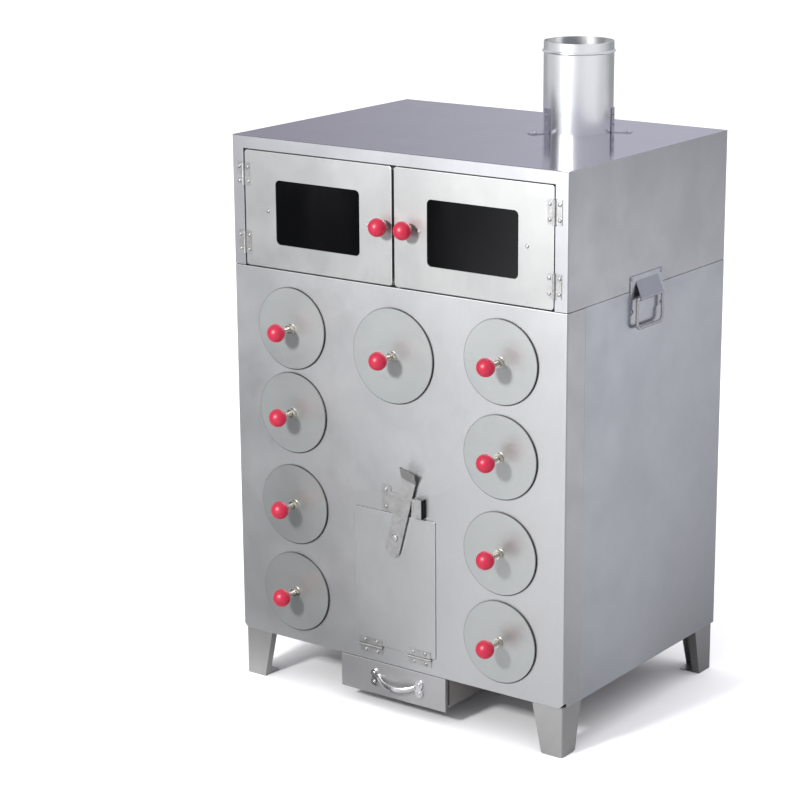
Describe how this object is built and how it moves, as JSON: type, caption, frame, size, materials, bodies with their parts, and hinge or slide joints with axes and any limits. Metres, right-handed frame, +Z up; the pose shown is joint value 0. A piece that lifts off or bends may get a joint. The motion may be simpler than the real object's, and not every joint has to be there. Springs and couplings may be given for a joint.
{
  "type": "baked potato oven",
  "caption": "Charcoal baked potato oven: sheet-metal body with round pull-out drawers, fire door, ash drawer and a windowed warming cabinet with a flue on top.",
  "frame": {"origin": "on the ground under the middle of the oven's outer box", "axes": "+X to the oven's right as seen from the front, +Y from the front panel to the back, +Z up"},
  "size_m": [0.674, 0.5428, 1.086],
  "materials": {
    "stainless_sheet": "satin rolled stainless sheet",
    "stainless_bright": "bright stainless tube",
    "zinc_hardware": "zinc-plated screws, pins and hinge leaves",
    "black_steel": "dark heat-stained steel",
    "cast_iron": "raw cast iron",
    "red_knob": "gloss red phenolic",
    "tinted_glass": "dark tinted toughened glass",
    "chrome": "chromed zinc casting"
  },
  "bodies": {
    "oven": {"front_panel": "stainless_sheet", "body_wrapper": "stainless_sheet", "floor_panel": "stainless_sheet", "warmer_floor": "stainless_sheet", "upper_casing": "stainless_sheet", "warmer_back_panel": "stainless_sheet", "top_cover": "stainless_sheet", "warmer_rack": "zinc_hardware", "flue_pipe": "stainless_bright", "flue_brackets": "stainless_sheet", "front_left_leg": "stainless_sheet", "front_right_leg": "stainless_sheet", "rear_right_leg": "stainless_sheet", "rear_left_leg": "stainless_sheet", "left_drawer_sleeves": "stainless_sheet", "right_drawer_sleeves": "stainless_sheet", "centre_drawer_sleeve": "stainless_sheet", "sleeve_support_plate": "stainless_sheet", "firebox": "black_steel", "fire_grate": "cast_iron", "hinge_base_leaves": "zinc_hardware", "hinge_pins": "zinc_hardware", "latch_keeper": "stainless_sheet", "panel_screws": "zinc_hardware", "side_handle_brackets": "stainless_sheet"},
    "left_door": {"left_door_panel": "stainless_sheet", "left_door_glass": "tinted_glass", "left_door_glass_clips": "zinc_hardware", "left_door_hinges": "zinc_hardware", "left_door_knob": "red_knob"},
    "right_door": {"right_door_panel": "stainless_sheet", "right_door_glass": "tinted_glass", "right_door_glass_clips": "zinc_hardware", "right_door_hinges": "zinc_hardware", "right_door_knob": "red_knob"},
    "left_drawer_1_body": {"left_drawer_1": "stainless_sheet", "left_drawer_1_knob": "red_knob"},
    "left_drawer_2_body": {"left_drawer_2": "stainless_sheet", "left_drawer_2_knob": "red_knob"},
    "left_drawer_3_body": {"left_drawer_3": "stainless_sheet", "left_drawer_3_knob": "red_knob"},
    "left_drawer_4_body": {"left_drawer_4": "stainless_sheet", "left_drawer_4_knob": "red_knob"},
    "right_drawer_1_body": {"right_drawer_1": "stainless_sheet", "right_drawer_1_knob": "red_knob"},
    "right_drawer_2_body": {"right_drawer_2": "stainless_sheet", "right_drawer_2_knob": "red_knob"},
    "right_drawer_3_body": {"right_drawer_3": "stainless_sheet", "right_drawer_3_knob": "red_knob"},
    "right_drawer_4_body": {"right_drawer_4": "stainless_sheet", "right_drawer_4_knob": "red_knob"},
    "centre_drawer_body": {"centre_drawer": "stainless_sheet", "centre_drawer_knob": "red_knob"},
    "fire_door_body": {"fire_door": "stainless_sheet", "fire_door_hinges": "zinc_hardware"},
    "latch": {"latch_lever": "stainless_sheet"},
    "ash_drawer_body": {"ash_drawer": "stainless_sheet", "ash_drawer_handle": "chrome"},
    "left_bail": {"left_bail_handle": "zinc_hardware"},
    "right_bail": {"right_bail_handle": "zinc_hardware"}
  },
  "joints": [
    {"name": "left_door_hinge", "type": "hinge", "parent": "oven", "child": "left_door", "pos_m": [-0.3015, -0.2162, 0.8185], "axis": [0, 0, -1], "range_deg": [0, 170]},
    {"name": "right_door_hinge", "type": "hinge", "parent": "oven", "child": "right_door", "pos_m": [0.3015, -0.2162, 0.8185], "axis": [0, 0, 1], "range_deg": [0, 170]},
    {"name": "left_drawer_1_slide", "type": "slide", "parent": "oven", "child": "left_drawer_1_body", "axis": [0, -1, 0], "range_m": [0, 0.32]},
    {"name": "left_drawer_2_slide", "type": "slide", "parent": "oven", "child": "left_drawer_2_body", "axis": [0, -1, 0], "range_m": [0, 0.32]},
    {"name": "left_drawer_3_slide", "type": "slide", "parent": "oven", "child": "left_drawer_3_body", "axis": [0, -1, 0], "range_m": [0, 0.32]},
    {"name": "left_drawer_4_slide", "type": "slide", "parent": "oven", "child": "left_drawer_4_body", "axis": [0, -1, 0], "range_m": [0, 0.32]},
    {"name": "right_drawer_1_slide", "type": "slide", "parent": "oven", "child": "right_drawer_1_body", "axis": [0, -1, 0], "range_m": [0, 0.32]},
    {"name": "right_drawer_2_slide", "type": "slide", "parent": "oven", "child": "right_drawer_2_body", "axis": [0, -1, 0], "range_m": [0, 0.32]},
    {"name": "right_drawer_3_slide", "type": "slide", "parent": "oven", "child": "right_drawer_3_body", "axis": [0, -1, 0], "range_m": [0, 0.32]},
    {"name": "right_drawer_4_slide", "type": "slide", "parent": "oven", "child": "right_drawer_4_body", "axis": [0, -1, 0], "range_m": [0, 0.32]},
    {"name": "centre_drawer_slide", "type": "slide", "parent": "oven", "child": "centre_drawer_body", "axis": [0, -1, 0], "range_m": [0, 0.32]},
    {"name": "fire_door_hinge", "type": "hinge", "parent": "oven", "child": "fire_door_body", "pos_m": [0, -0.2165, 0.1105], "axis": [1, 0, 0], "range_deg": [0, 90]},
    {"name": "latch_pivot", "type": "hinge", "parent": "fire_door_body", "child": "latch", "pos_m": [0.005, -0.2197, 0.31], "axis": [0, 1, 0], "range_deg": [-60, 12]},
    {"name": "ash_drawer_slide", "type": "slide", "parent": "oven", "child": "ash_drawer_body", "axis": [0, -1, 0], "range_m": [0, 0.28]},
    {"name": "left_bail_swing", "type": "hinge", "parent": "oven", "child": "left_bail", "pos_m": [-0.333, 0.0174, 0.711], "axis": [0, 1, 0], "range_deg": [0, 170]},
    {"name": "right_bail_swing", "type": "hinge", "parent": "oven", "child": "right_bail", "pos_m": [0.333, 0.0174, 0.711], "axis": [0, -1, 0], "range_deg": [0, 170]}
  ]
}
